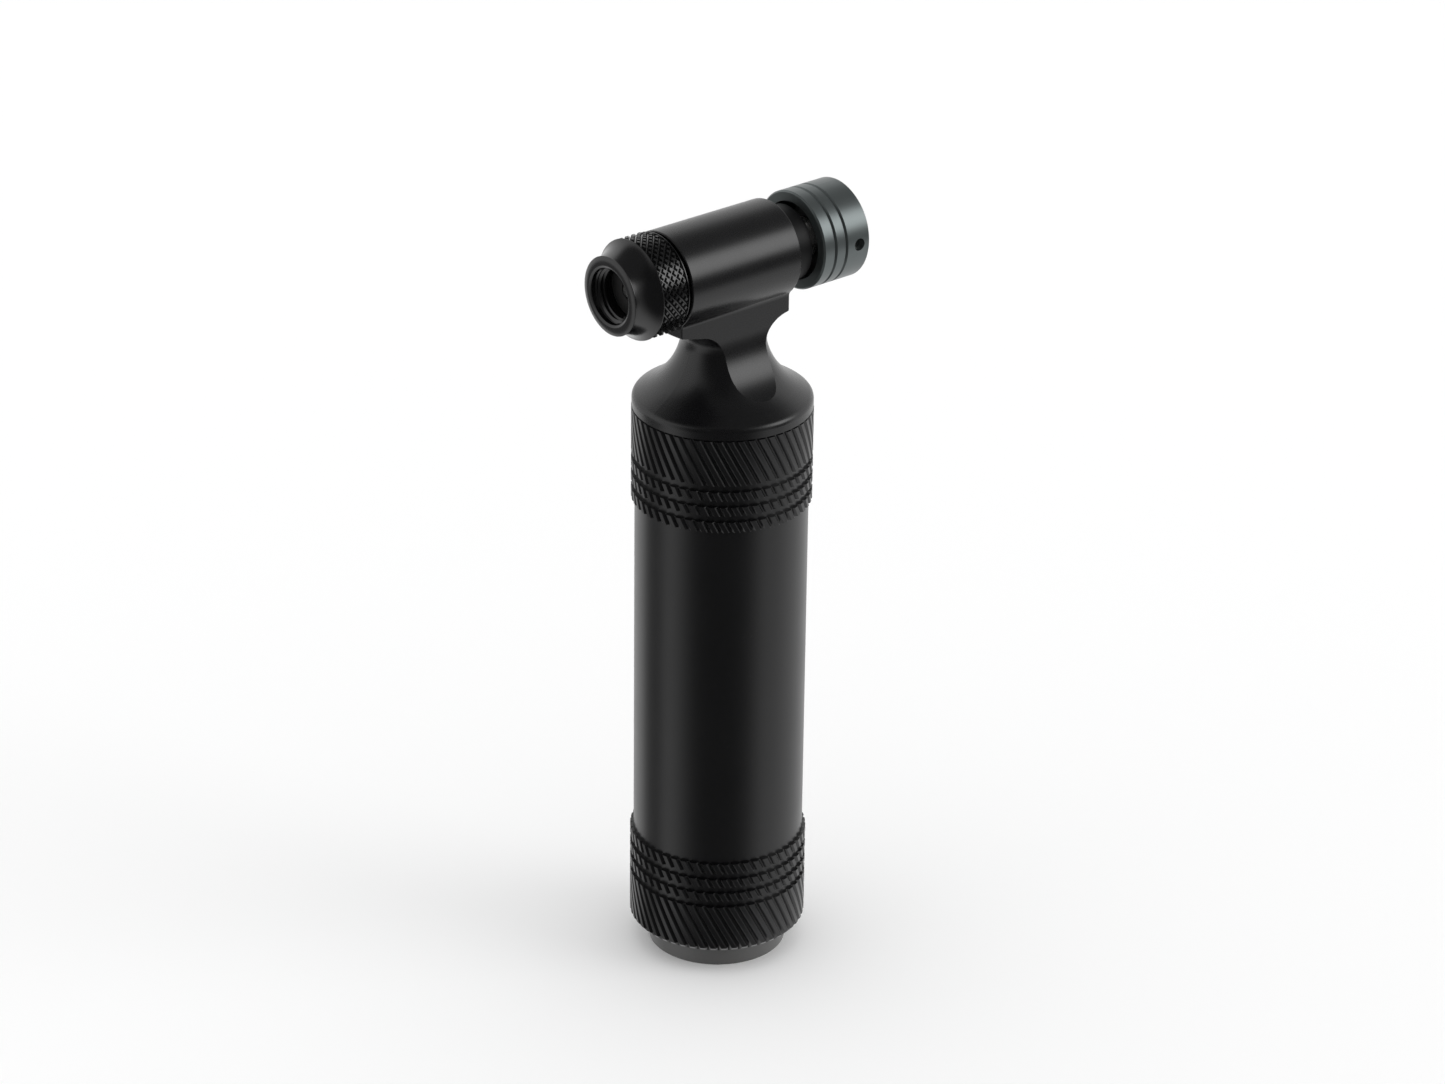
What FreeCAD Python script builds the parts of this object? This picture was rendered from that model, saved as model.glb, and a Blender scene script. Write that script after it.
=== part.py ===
"""Threaded-cartridge CO2 tyre inflator: sleeve, T head, screw-on chuck and control knob.

Frame: millimetres, origin at the centre of the foot's bottom face, +Z up the sleeve,
+X towards the chuck, +Y towards the side of the knob that shows its set screw.
"""
import FreeCAD
import Part
import math
import os

V = FreeCAD.Vector
os.makedirs("parts", exist_ok=True)

# --- driving dimensions -------------------------------------------------------------
# threaded 16 g cartridge
cartridge_r = 11.0
cartridge_length = 88.9
cartridge_wall = 1.6
cartridge_base_corner = 8.0
neck_r = 4.76
neck_length = 10.2
neck_mouth_r = 2.65
cap_thickness = 0.8
cap_hole_r = 0.9
shoulder_height = 11.5
shoulder_pull = 0.55
shoulder_flare = 0.9
neck_root_width = 0.2
neck_root_height = 0.3
cartridge_above_seam = 9.6

# sleeve (the hand grip that hides the cartridge)
sleeve_height = 93.4
cartridge_gap = 0.6
sleeve_wall = 1.85
ring_stand = 0.55
ring_band_height = 7.5
ring_groove_width = 1.08
ring_rib_width = 1.42
ring_end_rib_width = 1.7
ring_rib_count = 3
ring_edge_chamfer = 0.55
foot_stand_height = 4.2
foot_floor = 3.0
foot_taper = 0.35
foot_inset = 0.75
foot_plug_step = 0.45
foot_plug_wall = 1.15
foot_plug_height = 5.0
pad_thickness = 0.8

# head: bell, neck, web and barrel in one turned and milled piece
seam_gap = 0.1
spigot_step = 0.7
spigot_length = 6.9
spigot_wall = 1.0
spigot_cavity_straight = 3.2
spigot_oring_depth = 1.4
bell_inset = 0.05
bell_skirt_height = 1.2
bell_edge_radius = 1.15
bell_slope_deg = 32.4
bell_slope_width = 2.25
bell_sweep_low_reach = 5.0
bell_sweep_high_reach = 0.5
waist_r = 6.63
waist_above_seam = 10.9
waist_height = 0.25
upper_cove_radius = 3.6
wing_slope_deg = 15.4
web_half_width = 5.0
web_fillet = 1.2
flank_cut_radius = 10.2
flank_start_above_seam = 13.2
barrel_above_seam = 23.6
barrel_r = 7.68
barrel_front = 12.28
barrel_rear = 8.84
barrel_edge = 0.2
head_ceiling_above_neck = 0.6

# lance group, from the cartridge upwards
lance_r = 3.5
lance_flange = 1.7
lance_point_r = 0.75
lance_point_reach = 2.3
lance_point_length = 0.9
lance_point_tip_r = 0.36
lance_hole_r = 0.35
gasket_thickness = 0.6
filter_r = 2.0
filter_thickness = 1.0
gas_way_r = 0.9

# valve inside the barrel
chamber_r = 4.05
chamber_front = 2.0
seat_r = 3.55
seat_thickness = 1.6
seat_hole_r = 1.1
outlet_r = 1.3
plunger_shoulder = 0.4
plunger_length = 3.4
plunger_seal_r = 1.9
plunger_seal_thickness = 0.9
bonnet_shank_r = 5.15
bonnet_shank_length = 6.4
bonnet_nose_step = 0.82
bonnet_nose_length = 3.74
bonnet_oring_depth = 1.4
spindle_r = 2.0
spindle_pin_r = 1.1
spindle_pin_length = 1.2
spindle_flat_depth = 0.4
spindle_oring_depth = 1.9
spindle_cover = 1.2
clip_thickness = 0.6
clip_groove_depth = 0.5
clip_stand = 1.2
clip_slot_width = 1.6
clip_behind_bonnet = 3.7
knob_travel = 1.5

# control knob
knob_wall = 1.62
knob_front = 13.29
knob_length = 9.12
knob_hole_gap = 0.21
knob_hole_depth = 4.2
knob_groove_depth = 0.28
knob_groove_places = (2.31, 4.46)
knob_edge = 0.25
set_screw_r = 0.95
set_screw_length = 5.0
set_screw_behind_front = 7.0
set_screw_socket_r = 0.5
set_screw_socket_depth = 1.2

# chuck
chuck_shank_r = 5.55
chuck_shank_length = 5.9
chuck_band_r = 7.85
chuck_gap = 0.4
chuck_band_length = 5.3
chuck_band_edge = 0.3
chuck_flare_length = 4.25
chuck_lip_wall = 1.4
chuck_lip_length = 0.31
chuck_lip_neck = 0.12
chuck_lip_neck_length = 0.25
flare_first_drop = 0.95
flare_first_share = 0.2
flare_second_rise = 0.1
flare_second_share = 0.55
chuck_oring_depth = 1.5
chuck_mouth_width = 0.35
chuck_mouth_chamfer = 0.2
counterbore_step = 0.52
counterbore_depth = 1.15
valve_thread_r = 3.9
valve_thread_length = 2.2
thread_relief_step = 0.4
thread_relief_length = 0.6
thread_lead_in = 0.2
gasket_play = 0.1
chuck_gasket_hole_r = 1.75
chuck_gasket_thickness = 2.0
spring_chamber_r = 2.7
spring_wire_r = 0.2
spring_play = 0.6
spring_floor_depth = 3.4
guide_thickness = 0.7
guide_hole_r = 0.28
guide_hole_circle_r = 2.08
guide_hole_count = 3
depressor_r = 1.4
depressor_flange_play = 0.25
depressor_flange = 0.8
depressor_reach = 0.55
depressor_tip_radius = 0.5

# --- named clearances ---------------------------------------------------------------
thread_clearance = 0.05
fit_clearance = 0.03
sliding_clearance = 0.08
face_clearance = 0.05
seal_clearance = 0.03
ring_section_r = 0.5
spindle_ring_section_r = 0.4
ring_squeeze = 0.02
# how far a cutter runs past the face it cuts, and how near counts as the same place
over = 1.0
same_place = 0.01

# --- places worked out from the sizes above -------------------------------------------
sleeve_bore_r = cartridge_r + cartridge_gap
sleeve_r = sleeve_bore_r + sleeve_wall
ring_r = sleeve_r + ring_stand
foot_plug_r = sleeve_bore_r + foot_plug_step
foot_plug_bore_r = foot_plug_r - foot_plug_wall
foot_top_r = foot_plug_r - foot_inset
foot_bottom_r = foot_top_r - foot_taper
spigot_r = sleeve_bore_r + spigot_step
spigot_cavity_r = spigot_r - spigot_wall
bell_r = ring_r - bell_inset
bell_sweep_start_r = bell_r - bell_slope_width
plunger_r = spindle_r + plunger_shoulder
clip_groove_r = spindle_r - clip_groove_depth
clip_outer_r = spindle_r + clip_stand
bonnet_nose_r = bonnet_shank_r + bonnet_nose_step
knob_hole_r = bonnet_nose_r + knob_hole_gap
knob_r = knob_hole_r + knob_wall
counterbore_r = valve_thread_r + counterbore_step
thread_relief_r = valve_thread_r + thread_relief_step
gasket_r = thread_relief_r - gasket_play
chuck_mouth_r = counterbore_r + chuck_mouth_width
chuck_lip_r = chuck_mouth_r + chuck_lip_wall
spring_coil_r = spring_chamber_r - spring_play
depressor_flange_r = spring_chamber_r - depressor_flange_play
pad_top_z = foot_floor + pad_thickness
seam_z = sleeve_height
cartridge_top_z = seam_z + cartridge_above_seam
cartridge_base_z = cartridge_top_z - cartridge_length
head_base_z = seam_z + seam_gap
barrel_z = seam_z + barrel_above_seam
neck_base_z = cartridge_top_z - neck_length
gasket_z = cartridge_top_z + face_clearance
lance_z = gasket_z + gasket_thickness + face_clearance
lance_top_z = lance_z + lance_flange
filter_top_z = lance_top_z + face_clearance + filter_thickness
seat_rear_x = chamber_front
seat_front_x = seat_rear_x + seat_thickness
bonnet_front_x = -barrel_rear + bonnet_shank_length
bonnet_rear_x = -barrel_rear - bonnet_nose_length
chuck_rear_x = barrel_front + chuck_gap - chuck_shank_length
chuck_band_x = barrel_front + chuck_gap
chuck_flare_x = chuck_band_x + chuck_band_length
chuck_face_x = chuck_flare_x + chuck_flare_length
thread_mouth_x = chuck_face_x - counterbore_depth
thread_floor_x = thread_mouth_x - valve_thread_length
gasket_front_x = thread_floor_x - thread_relief_length
gasket_rear_x = gasket_front_x - chuck_gasket_thickness
guide_front_x = gasket_rear_x - face_clearance
guide_rear_x = guide_front_x - guide_thickness
flange_front_x = guide_rear_x - face_clearance
flange_rear_x = flange_front_x - depressor_flange
spring_floor_x = chuck_rear_x + spring_floor_depth
chuck_oring_x = chuck_band_x - chuck_oring_depth
chuck_groove_r = chuck_shank_r - 2 * ring_section_r
knob_floor_x = -knob_front - knob_hole_depth
knob_rear_x = -knob_front - knob_length
set_screw_x = -knob_front - set_screw_behind_front
spigot_low_z = head_base_z - spigot_length
spigot_oring_z = head_base_z - spigot_oring_depth
spigot_groove_r = spigot_r - 2 * ring_section_r
neck_ceiling_z = neck_base_z + head_ceiling_above_neck
bonnet_oring_x = bonnet_oring_depth - barrel_rear
bonnet_groove_r = bonnet_shank_r - 2 * ring_section_r
spindle_oring_x = bonnet_front_x - spindle_oring_depth
spindle_groove_r = spindle_r + 2 * spindle_ring_section_r
plunger_seal_front_x = seat_rear_x - face_clearance
plunger_front_x = plunger_seal_front_x - plunger_seal_thickness
plunger_rear_x = plunger_front_x - plunger_length
spindle_rear_x = knob_rear_x + spindle_cover
clip_x = bonnet_rear_x - clip_behind_bonnet

AXIS_Z = (V(0, 0, 0), V(0, 0, 1))
AXIS_X = (V(0, 0, barrel_z), V(1, 0, 0))


# --- small shape helpers --------------------------------------------------------------
def cyl_z(radius, low, high):
    """A cylinder about the sleeve's axis."""
    return Part.makeCylinder(radius, high - low, V(0, 0, low))


def cyl_x(radius, rear, front):
    """A cylinder about the barrel's axis."""
    return Part.makeCylinder(radius, front - rear, V(rear, 0, barrel_z), V(1, 0, 0))


def cone_x(rear_radius, front_radius, rear, front):
    """A cone about the barrel's axis."""
    return Part.makeCone(rear_radius, front_radius, front - rear, V(rear, 0, barrel_z), V(1, 0, 0))


def point_z(radius, height):
    """A profile point beside the sleeve's axis."""
    return V(radius, 0, height)


def point_x(radius, along):
    """A profile point above the barrel's axis."""
    return V(along, 0, barrel_z + radius)


def turned(edges, axis):
    """The solid that a closed profile makes when it is turned about an axis."""
    face = Part.Face(Part.Wire(Part.__sortEdges__(edges)))
    solid = face.revolve(axis[0], axis[1], 360)
    return solid if solid.Volume > 0 else solid.reversed()


def polygon_edges(points):
    """Straight edges through the points and back to the first."""
    ring = points + points[:1]
    return [Part.LineSegment(a, b).toShape() for a, b in zip(ring, ring[1:])]


def turned_polygon(points, axis):
    return turned(polygon_edges(points), axis)


def torus_z(major, minor, height):
    return Part.makeTorus(major, minor, V(0, 0, height), V(0, 0, 1))


def torus_x(major, minor, along):
    return Part.makeTorus(major, minor, V(along, 0, barrel_z), V(1, 0, 0))


def save(shape, node):
    """Write one sub-part, which has to be valid and made of solids."""
    if not shape.isValid():
        raise ValueError(node + " is not a valid shape")
    if not shape.Solids:
        raise ValueError(node + " has no solid")
    shape.exportStep("parts/" + node + ".step")


# --- sleeve group -----------------------------------------------------------------------
def ring_places(start, up):
    """Low and high edges of each groove of a grip ring, counted from its end face."""
    places = []
    edge = start + up * ring_band_height
    for rib in range(ring_rib_count):
        far = edge + up * ring_groove_width
        places.append((min(edge, far), max(edge, far)))
        last = rib == ring_rib_count - 1
        edge = far + up * (ring_end_rib_width if last else ring_rib_width)
    return places, edge


def sleeve():
    top_grooves, top_ring_end = ring_places(seam_z, -1)
    low_start = foot_stand_height + ring_edge_chamfer
    low_grooves, low_ring_end = ring_places(low_start, 1)
    body = cyl_z(sleeve_r, foot_stand_height, seam_z)
    body = body.fuse(cyl_z(ring_r, top_ring_end, seam_z))
    low_ring = cyl_z(ring_r, foot_stand_height, low_ring_end)
    rim = [e for e in low_ring.Edges if e.BoundBox.ZMax < foot_stand_height + same_place]
    rim = [e for e in rim if e.Length > math.pi * ring_r]
    low_ring = low_ring.makeChamfer(ring_edge_chamfer, rim)
    body = body.fuse(low_ring)
    for low, high in top_grooves + low_grooves:
        body = body.cut(cyl_z(ring_r + over, low, high).cut(cyl_z(sleeve_r, low, high)))
    body = body.cut(cyl_z(sleeve_bore_r, foot_stand_height, seam_z))
    socket_depth = spigot_length + face_clearance
    body = body.cut(cyl_z(spigot_r + thread_clearance, seam_z - socket_depth, seam_z))
    plug_top = foot_stand_height + foot_plug_height + face_clearance
    body = body.cut(cyl_z(foot_plug_r + fit_clearance, foot_stand_height, plug_top))
    return body.removeSplitter()


def base_foot():
    plug_top = foot_stand_height + foot_plug_height
    outside = [point_z(0, 0), point_z(foot_bottom_r, 0), point_z(foot_top_r, foot_stand_height),
               point_z(foot_plug_r, foot_stand_height), point_z(foot_plug_r, plug_top),
               point_z(foot_plug_bore_r, plug_top), point_z(foot_plug_bore_r, foot_floor),
               point_z(0, foot_floor)]
    return turned_polygon(outside, AXIS_Z)


def cushion_pad():
    return cyl_z(foot_plug_bore_r - sliding_clearance, foot_floor, pad_top_z)


def sleeve_oring():
    """The O-ring in the spigot's groove, which keeps grit out of the thread."""
    major = spigot_r - ring_section_r + seal_clearance
    return torus_z(major, ring_section_r, spigot_oring_z)


# --- cartridge group ----------------------------------------------------------------------
def cartridge_outline(inset):
    """Edges of the cartridge's outside, or of its inside when inset by the wall."""
    radius = cartridge_r - inset
    base = cartridge_base_z + inset
    corner = cartridge_base_corner - inset
    shoulder_low = neck_base_z - shoulder_height
    neck = neck_r if inset == 0 else neck_mouth_r
    shoulder_top = neck_base_z - inset
    c45 = corner * (1 - math.sqrt(0.5))
    arc = Part.Arc(point_z(radius - corner, base), point_z(radius - c45, base + c45),
                   point_z(radius, base + corner)).toShape()
    shoulder = Part.BezierCurve()
    reach = (shoulder_top - shoulder_low) * shoulder_pull
    shoulder.setPoles([point_z(radius, shoulder_low), point_z(radius, shoulder_low + reach),
                       point_z(neck + shoulder_flare, shoulder_top - reach),
                       point_z(neck + neck_root_width, shoulder_top)])
    return base, corner, radius, neck, arc, shoulder.toShape(), shoulder_low, shoulder_top


def cartridge_solid(inset, top):
    base, corner, radius, neck, arc, shoulder, low, high = cartridge_outline(inset)
    corners = [point_z(neck + neck_root_width, high), point_z(neck, high + neck_root_height),
               point_z(neck, top), point_z(0, top), point_z(0, base), point_z(radius - corner, base)]
    edges = [Part.LineSegment(a, b).toShape() for a, b in zip(corners, corners[1:])]
    wall = Part.LineSegment(point_z(radius, base + corner), point_z(radius, low)).toShape()
    return turned(edges + [arc, wall, shoulder], AXIS_Z)


def cartridge():
    outside = cartridge_solid(0, cartridge_top_z)
    cap_seat_z = cartridge_top_z - cap_thickness - face_clearance
    inside = cartridge_solid(cartridge_wall, cap_seat_z)
    seat = cyl_z(neck_mouth_r + fit_clearance, cap_seat_z, cartridge_top_z)
    return outside.cut(inside).cut(seat)


def cartridge_seal_cap():
    """The steel disc in the cartridge's mouth, already pierced by the lance."""
    disc = cyl_z(neck_mouth_r, cartridge_top_z - cap_thickness, cartridge_top_z)
    hole = cyl_z(cap_hole_r, cartridge_top_z - cap_thickness - over, cartridge_top_z + over)
    return disc.cut(hole)


# --- head body --------------------------------------------------------------------------------
def bell_and_neck():
    """The turned part of the head: spigot, bell, waist, upper cove and the wings' underside."""
    waist_low = seam_z + waist_above_seam
    waist_high = waist_low + waist_height
    slope = math.radians(bell_slope_deg)
    turn = math.pi / 2 - slope
    edge_low = seam_z + bell_skirt_height
    edge_centre = (bell_r - bell_edge_radius, edge_low)
    edge_mid = (edge_centre[0] + bell_edge_radius * math.cos(turn / 2),
                edge_centre[1] + bell_edge_radius * math.sin(turn / 2))
    edge_top = (edge_centre[0] + bell_edge_radius * math.cos(turn),
                edge_centre[1] + bell_edge_radius * math.sin(turn))
    run_top = (bell_sweep_start_r, edge_top[1] + (edge_top[0] - bell_sweep_start_r) * math.tan(slope))
    sweep = Part.BezierCurve()
    sweep.setPoles([point_z(waist_r, waist_low), point_z(waist_r, waist_low - bell_sweep_high_reach),
                    point_z(run_top[0] - bell_sweep_low_reach * math.cos(slope),
                            run_top[1] + bell_sweep_low_reach * math.sin(slope)),
                    point_z(*run_top)])
    cove = math.radians(90 - wing_slope_deg)
    cove_centre = (waist_r + upper_cove_radius, waist_high)
    cove_mid = (cove_centre[0] - upper_cove_radius * math.cos(cove / 2),
                cove_centre[1] + upper_cove_radius * math.sin(cove / 2))
    cove_end = (cove_centre[0] - upper_cove_radius * math.cos(cove),
                cove_centre[1] + upper_cove_radius * math.sin(cove))
    far = barrel_front + web_half_width
    wing_rise = (far - cove_end[0]) * math.tan(math.radians(wing_slope_deg))
    wing_end = (far, cove_end[1] + wing_rise)
    top = barrel_z + barrel_r + over
    line = Part.LineSegment
    edges = [
        line(point_z(0, spigot_low_z), point_z(spigot_r, spigot_low_z)).toShape(),
        line(point_z(spigot_r, spigot_low_z), point_z(spigot_r, head_base_z)).toShape(),
        line(point_z(spigot_r, head_base_z), point_z(bell_r, head_base_z)).toShape(),
        line(point_z(bell_r, head_base_z), point_z(bell_r, edge_low)).toShape(),
        Part.Arc(point_z(bell_r, edge_low), point_z(*edge_mid), point_z(*edge_top)).toShape(),
        line(point_z(*edge_top), point_z(*run_top)).toShape(),
        sweep.toShape(),
        line(point_z(waist_r, waist_low), point_z(waist_r, waist_high)).toShape(),
        Part.Arc(point_z(waist_r, waist_high), point_z(*cove_mid), point_z(*cove_end)).toShape(),
        line(point_z(*cove_end), point_z(*wing_end)).toShape(),
        line(point_z(*wing_end), point_z(far, top)).toShape(),
        line(point_z(far, top), point_z(0, top)).toShape(),
        line(point_z(0, top), point_z(0, spigot_low_z)).toShape(),
    ]
    return turned(edges, AXIS_Z)


def barrel_and_web():
    """The extruded outline across the barrel: barrel, filleted web and the scooped flanks."""
    reach = barrel_r + web_fillet
    side = web_half_width + web_fillet
    fillet_drop = math.sqrt(reach * reach - side * side)
    join = (side * barrel_r / reach, barrel_z - fillet_drop * barrel_r / reach)
    start = (web_half_width, barrel_z - fillet_drop)
    lean = math.atan2(side, fillet_drop)
    spread = (math.pi / 2 - lean) / 2
    mid_angle = lean + spread
    fillet_mid = (side - web_fillet * math.sin(mid_angle),
                  barrel_z - fillet_drop + web_fillet * math.cos(mid_angle))
    scoop_top = seam_z + flank_start_above_seam
    scoop_end = math.radians(80)
    scoop_mid = scoop_end / 2
    low = spigot_low_z - over

    def scoop(angle):
        return (web_half_width + flank_cut_radius * (1 - math.cos(angle)),
                scoop_top - flank_cut_radius * math.sin(angle))

    def at(pair, sign):
        return V(0, sign * pair[0], pair[1])

    edges = [Part.Arc(at(join, -1), V(0, 0, barrel_z + barrel_r), at(join, 1)).toShape()]
    wide = (ring_r + 4, scoop(scoop_end)[1])
    for sign in (-1, 1):
        edges.append(Part.Arc(at(join, sign), at(fillet_mid, sign), at(start, sign)).toShape())
        edges.append(Part.LineSegment(at(start, sign), at((web_half_width, scoop_top), sign)).toShape())
        edges.append(Part.Arc(at(scoop(0), sign), at(scoop(scoop_mid), sign),
                              at(scoop(scoop_end), sign)).toShape())
        edges.append(Part.LineSegment(at(scoop(scoop_end), sign), at(wide, sign)).toShape())
        edges.append(Part.LineSegment(at(wide, sign), at((wide[0], low), sign)).toShape())
    edges.append(Part.LineSegment(at((wide[0], low), -1), at((wide[0], low), 1)).toShape())
    face = Part.Face(Part.Wire(Part.__sortEdges__(edges)))
    span = 2 * (ring_r + 4)
    face.translate(V(-span / 2, 0, 0))
    return face.extrude(V(span, 0, 0))


def head_bores():
    """Every hole in the head, as solids to cut away."""
    cavity = turned_polygon([point_z(0, spigot_low_z - over), point_z(spigot_cavity_r, spigot_low_z - over),
                             point_z(spigot_cavity_r, spigot_low_z + spigot_cavity_straight),
                             point_z(neck_r + head_ceiling_above_neck, neck_ceiling_z),
                             point_z(0, neck_ceiling_z)], AXIS_Z)
    groove_half = ring_section_r + seal_clearance
    groove = cyl_z(spigot_r + over, spigot_oring_z - groove_half, spigot_oring_z + groove_half)
    groove = groove.cut(cyl_z(spigot_groove_r, spigot_oring_z - over, spigot_oring_z + over))
    neck_thread = cyl_z(neck_r + thread_clearance, neck_ceiling_z - over, cartridge_top_z + face_clearance)
    lance_pocket = cyl_z(lance_r + fit_clearance, cartridge_top_z, lance_top_z)
    filter_pocket = cyl_z(filter_r + fit_clearance, lance_top_z - over, filter_top_z)
    gas_way = cyl_z(gas_way_r, filter_top_z - over, barrel_z)
    chamber = cyl_x(chamber_r, bonnet_front_x - over, seat_rear_x)
    seat_pocket = cyl_x(seat_r + fit_clearance, seat_rear_x - over, seat_front_x)
    outlet = cyl_x(outlet_r, seat_front_x - over, chuck_rear_x)
    bonnet_bore = cyl_x(bonnet_shank_r + thread_clearance, -barrel_rear - over,
                        bonnet_front_x + face_clearance)
    chuck_bore = cyl_x(chuck_shank_r + thread_clearance, chuck_rear_x - face_clearance, barrel_front + over)
    return [cavity, groove, neck_thread, lance_pocket, filter_pocket, gas_way, chamber, seat_pocket,
            outlet, bonnet_bore, chuck_bore]


def head_body():
    solid = bell_and_neck().common(barrel_and_web())
    top_low = seam_z + waist_above_seam
    tall = barrel_z + barrel_r + 2 * over - top_low
    wide = 4 * ring_r
    front_waste = Part.makeBox(wide, wide, tall, V(barrel_front, -wide / 2, top_low))
    rear_waste = Part.makeBox(wide, wide, tall, V(-barrel_rear - wide, -wide / 2, top_low))
    solid = solid.cut(front_waste).cut(rear_waste).removeSplitter()
    rims = [edge for edge in solid.Edges if edge.BoundBox.XLength < same_place]
    solid = solid.makeFillet(barrel_edge, [edge for edge in rims if edge.BoundBox.ZMin > top_low])
    for bore in head_bores():
        solid = solid.cut(bore)
    return solid.removeSplitter()


# --- lance group ---------------------------------------------------------------------------------
def lance_gasket():
    ring = cyl_z(lance_r, gasket_z, gasket_z + gasket_thickness)
    return ring.cut(cyl_z(lance_point_r + sliding_clearance, gasket_z - over, lance_z + over))


def lance():
    """The hollow steel point that pierces the cartridge, with the flange that seats it."""
    flange = cyl_z(lance_r, lance_z, lance_top_z)
    tip_z = cartridge_top_z - lance_point_reach
    shaft = cyl_z(lance_point_r, tip_z + lance_point_length, lance_z)
    tip = Part.makeCone(lance_point_tip_r, lance_point_r, lance_point_length, V(0, 0, tip_z))
    hole = cyl_z(lance_hole_r, tip_z - over, lance_top_z + over)
    return flange.fuse([shaft, tip]).cut(hole).removeSplitter()


def lance_filter():
    """The sintered disc that catches chips before they reach the valve."""
    return cyl_z(filter_r, lance_top_z + face_clearance, filter_top_z)


# --- valve group -----------------------------------------------------------------------------------
def valve_seat():
    ring = cyl_x(seat_r, seat_rear_x, seat_front_x - face_clearance)
    return ring.cut(cyl_x(seat_hole_r, seat_rear_x - over, seat_front_x + over))


def valve_bonnet():
    """The screwed-in collar that closes the barrel's rear and carries the spindle."""
    shank = cyl_x(bonnet_shank_r, bonnet_rear_x + knob_edge, bonnet_front_x)
    nose = cyl_x(bonnet_nose_r, bonnet_rear_x, -barrel_rear - face_clearance)
    nose_rim = [e for e in nose.Edges if e.BoundBox.XMax < bonnet_rear_x + same_place]
    nose = nose.makeChamfer(knob_edge, nose_rim)
    body = nose.fuse(shank)
    groove_half = ring_section_r + seal_clearance
    groove = cyl_x(bonnet_shank_r + ring_section_r, bonnet_oring_x - groove_half,
                   bonnet_oring_x + groove_half)
    body = body.cut(groove.cut(cyl_x(bonnet_groove_r, bonnet_oring_x - over, bonnet_oring_x + over)))
    body = body.cut(cyl_x(spindle_r + thread_clearance, bonnet_rear_x - over, bonnet_front_x + over))
    inner_half = spindle_ring_section_r + seal_clearance
    body = body.cut(cyl_x(spindle_groove_r + seal_clearance, spindle_oring_x - inner_half,
                          spindle_oring_x + inner_half))
    plunger_room = cyl_x(plunger_r + sliding_clearance, plunger_rear_x - knob_travel - 2 * face_clearance,
                         bonnet_front_x + over)
    return body.cut(plunger_room).removeSplitter()


def bonnet_oring():
    major = bonnet_shank_r - ring_section_r + seal_clearance / 2
    return torus_x(major, ring_section_r - ring_squeeze, bonnet_oring_x)


def spindle_oring():
    major = spindle_r + spindle_ring_section_r + thread_clearance / 2
    return torus_x(major, spindle_ring_section_r - ring_squeeze, spindle_oring_x)


def plunger_seal():
    """The rubber pad on the plunger's nose, which closes on the seat."""
    return cyl_x(plunger_seal_r, plunger_front_x, plunger_seal_front_x)


def valve_plunger():
    """The sliding nose that the spindle's pin turns in; gas passes round it."""
    body = cyl_x(plunger_r, plunger_rear_x, plunger_front_x)
    pin_hole = cyl_x(spindle_pin_r + sliding_clearance, plunger_rear_x - over,
                     plunger_rear_x + spindle_pin_length)
    return body.cut(pin_hole)


# --- knob group --------------------------------------------------------------------------------------
def spindle():
    """The threaded stem between the knob and the plunger, with its pin in the plunger."""
    stem = cyl_x(spindle_r, spindle_rear_x, plunger_rear_x - face_clearance)
    pin = cyl_x(spindle_pin_r, plunger_rear_x - over, plunger_rear_x + spindle_pin_length - face_clearance)
    flat_top = barrel_z - spindle_r
    flat = Part.makeBox(4 * set_screw_r, over, 2 * spindle_r,
                        V(set_screw_x - 2 * set_screw_r, spindle_r - spindle_flat_depth, flat_top))
    groove = cyl_x(spindle_r + over, clip_x, clip_x + clip_thickness)
    groove = groove.cut(cyl_x(clip_groove_r, clip_x - over, clip_x + over))
    return stem.fuse(pin).cut(flat).cut(groove).removeSplitter()


def spindle_clip():
    """The split ring on the stem that stops the knob's inward travel."""
    ring = cyl_x(clip_outer_r, clip_x + ring_squeeze, clip_x + clip_thickness - ring_squeeze)
    ring = ring.cut(cyl_x(clip_groove_r + ring_squeeze, clip_x - over, clip_x + clip_thickness + over))
    drop = clip_outer_r + over
    slot = Part.makeBox(clip_thickness + 2 * over, clip_slot_width, drop,
                        V(clip_x - over, -clip_slot_width / 2, barrel_z - drop))
    return ring.cut(slot)


def control_knob():
    """The turned cup with two fine grooves and a radial hole for its set screw."""
    front = -knob_front
    outside = [point_x(0, knob_rear_x), point_x(knob_r - knob_edge, knob_rear_x),
               point_x(knob_r, knob_rear_x + knob_edge)]
    for place in sorted(knob_groove_places, reverse=True):
        mid = front - place
        outside += [point_x(knob_r, mid - knob_groove_depth), point_x(knob_r - knob_groove_depth, mid),
                    point_x(knob_r, mid + knob_groove_depth)]
    outside += [point_x(knob_r, front - knob_edge), point_x(knob_r - knob_edge, front),
                point_x(knob_hole_r, front), point_x(knob_hole_r, knob_floor_x), point_x(0, knob_floor_x)]
    body = turned_polygon(outside, AXIS_X)
    body = body.cut(cyl_x(spindle_r + fit_clearance, spindle_rear_x - face_clearance, knob_floor_x + over))
    hole = Part.makeCylinder(set_screw_r + fit_clearance, knob_r + over, V(set_screw_x, 0, barrel_z),
                             V(0, 1, 0))
    return body.cut(hole)


def knob_set_screw():
    """The cup-point set screw that clamps the knob on the stem's flat."""
    tip_y = spindle_r - spindle_flat_depth + seal_clearance
    body = Part.makeCylinder(set_screw_r, set_screw_length, V(set_screw_x, tip_y, barrel_z), V(0, 1, 0))
    floor_y = tip_y + set_screw_length - set_screw_socket_depth
    corners = []
    for corner in range(6):
        angle = math.radians(60 * corner)
        corners.append(V(set_screw_x + set_screw_socket_r * math.cos(angle), floor_y,
                         barrel_z + set_screw_socket_r * math.sin(angle)))
    socket = Part.Face(Part.makePolygon(corners + corners[:1])).extrude(V(0, set_screw_length, 0))
    return body.cut(socket)


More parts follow.
